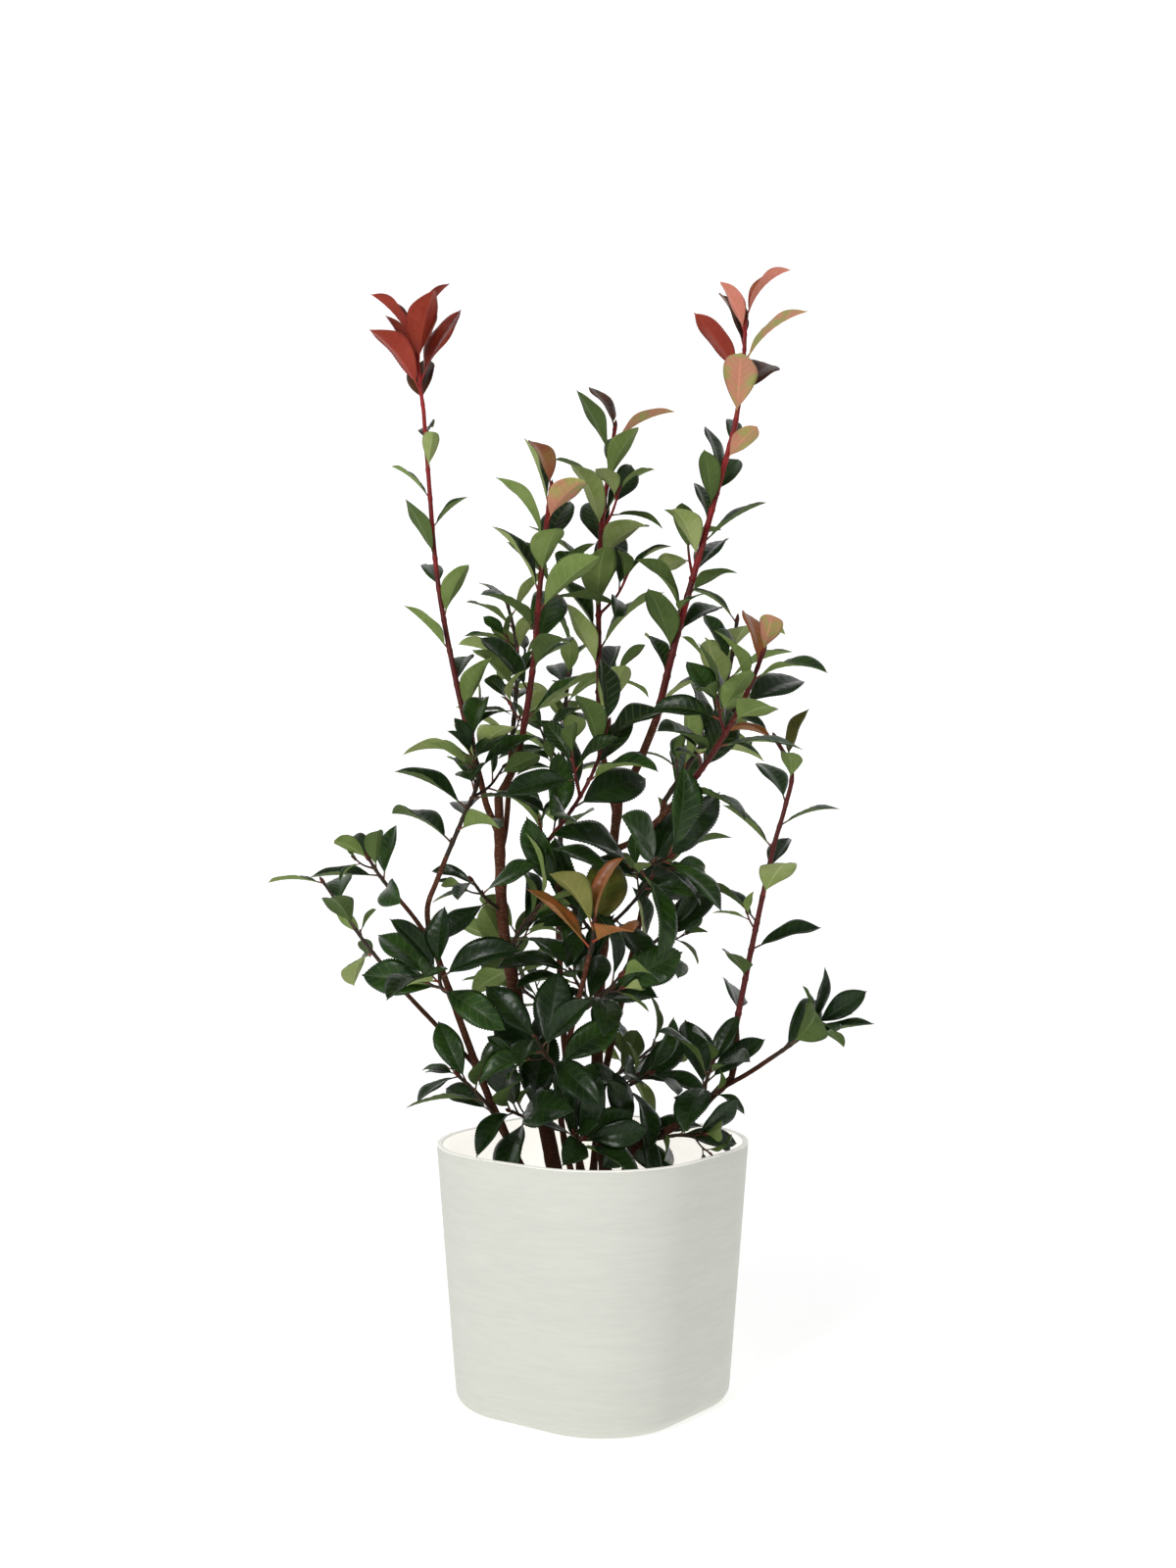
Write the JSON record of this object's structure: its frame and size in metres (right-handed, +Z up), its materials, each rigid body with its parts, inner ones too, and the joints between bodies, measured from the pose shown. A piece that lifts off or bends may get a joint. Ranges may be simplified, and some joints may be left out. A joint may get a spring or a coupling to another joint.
{
  "type": "potted photinia shrub",
  "caption": "Young evergreen shrub with upright leafy shoots, glossy green leaves and red tips, growing from several stems in a white square planter with round corners.",
  "frame": {"origin": "centre of the planter's flat underside", "axes": "+Z up, +X to the right and +Y away for someone who faces the shrub's front"},
  "size_m": [0.6132, 0.4203, 1.1595],
  "materials": {
    "planter": "matt off-white with fine level brush strokes",
    "compost": "loose dark compost with bits of bark",
    "bark": "rough brown bark, crimson and smooth on young shoots",
    "green_foliage": "glossy dark green above, matt pale green below",
    "red_foliage": "satin red young leaves",
    "orange_foliage": "satin orange and olive young leaves"
  },
  "bodies": {
    "root": {"pot": "planter", "soil": "compost", "left_stem": "bark", "centre_stem": "bark", "right_stem": "bark", "back_stem": "bark", "far_stem": "bark", "left_arching_stem": "bark", "front_stem": "bark", "left_tall_bough": "bark", "upper_left_bough": "bark", "back_left_bough": "bark", "upper_right_bough": "bark", "upper_middle_bough": "bark", "right_diagonal_bough": "bark", "left_diagonal_bough": "bark", "right_upright_bough": "bark", "right_low_bough": "bark", "left_upper_bough": "bark", "left_outer_bough": "bark", "left_low_bough": "bark", "left_tall_leaves": "green_foliage", "left_tall_red_tip": "red_foliage", "upper_left_leaves": "green_foliage", "upper_middle_leaves": "green_foliage", "upper_right_leaves": "green_foliage", "upper_right_red_tip": "red_foliage", "right_diagonal_leaves": "green_foliage", "left_diagonal_leaves": "green_foliage", "right_upright_leaves": "green_foliage", "right_low_leaves": "green_foliage", "left_upper_leaves": "green_foliage", "left_outer_leaves": "green_foliage", "left_low_leaves": "green_foliage", "back_right_leaves": "green_foliage", "back_left_leaves": "green_foliage", "far_leaves": "green_foliage", "front_orange_crown": "orange_foliage", "left_fork_spray": "green_foliage", "left_middle_spray": "green_foliage", "left_inner_spray": "green_foliage", "left_foot_spray": "green_foliage", "front_middle_spray": "green_foliage", "centre_middle_spray": "green_foliage", "centre_upper_spray": "green_foliage", "right_middle_spray": "green_foliage", "right_low_spray": "green_foliage", "right_foot_spray": "green_foliage", "centre_low_spray": "green_foliage", "back_low_spray": "green_foliage", "far_low_spray": "green_foliage", "centre_fork_spray": "green_foliage", "centre_right_spray": "green_foliage", "left_front_spray": "green_foliage", "front_lower_spray": "green_foliage", "back_middle_spray": "green_foliage", "left_arch_low_spray": "green_foliage", "front_foot_spray": "green_foliage", "centre_foot_spray": "green_foliage"}
  },
  "joints": []
}
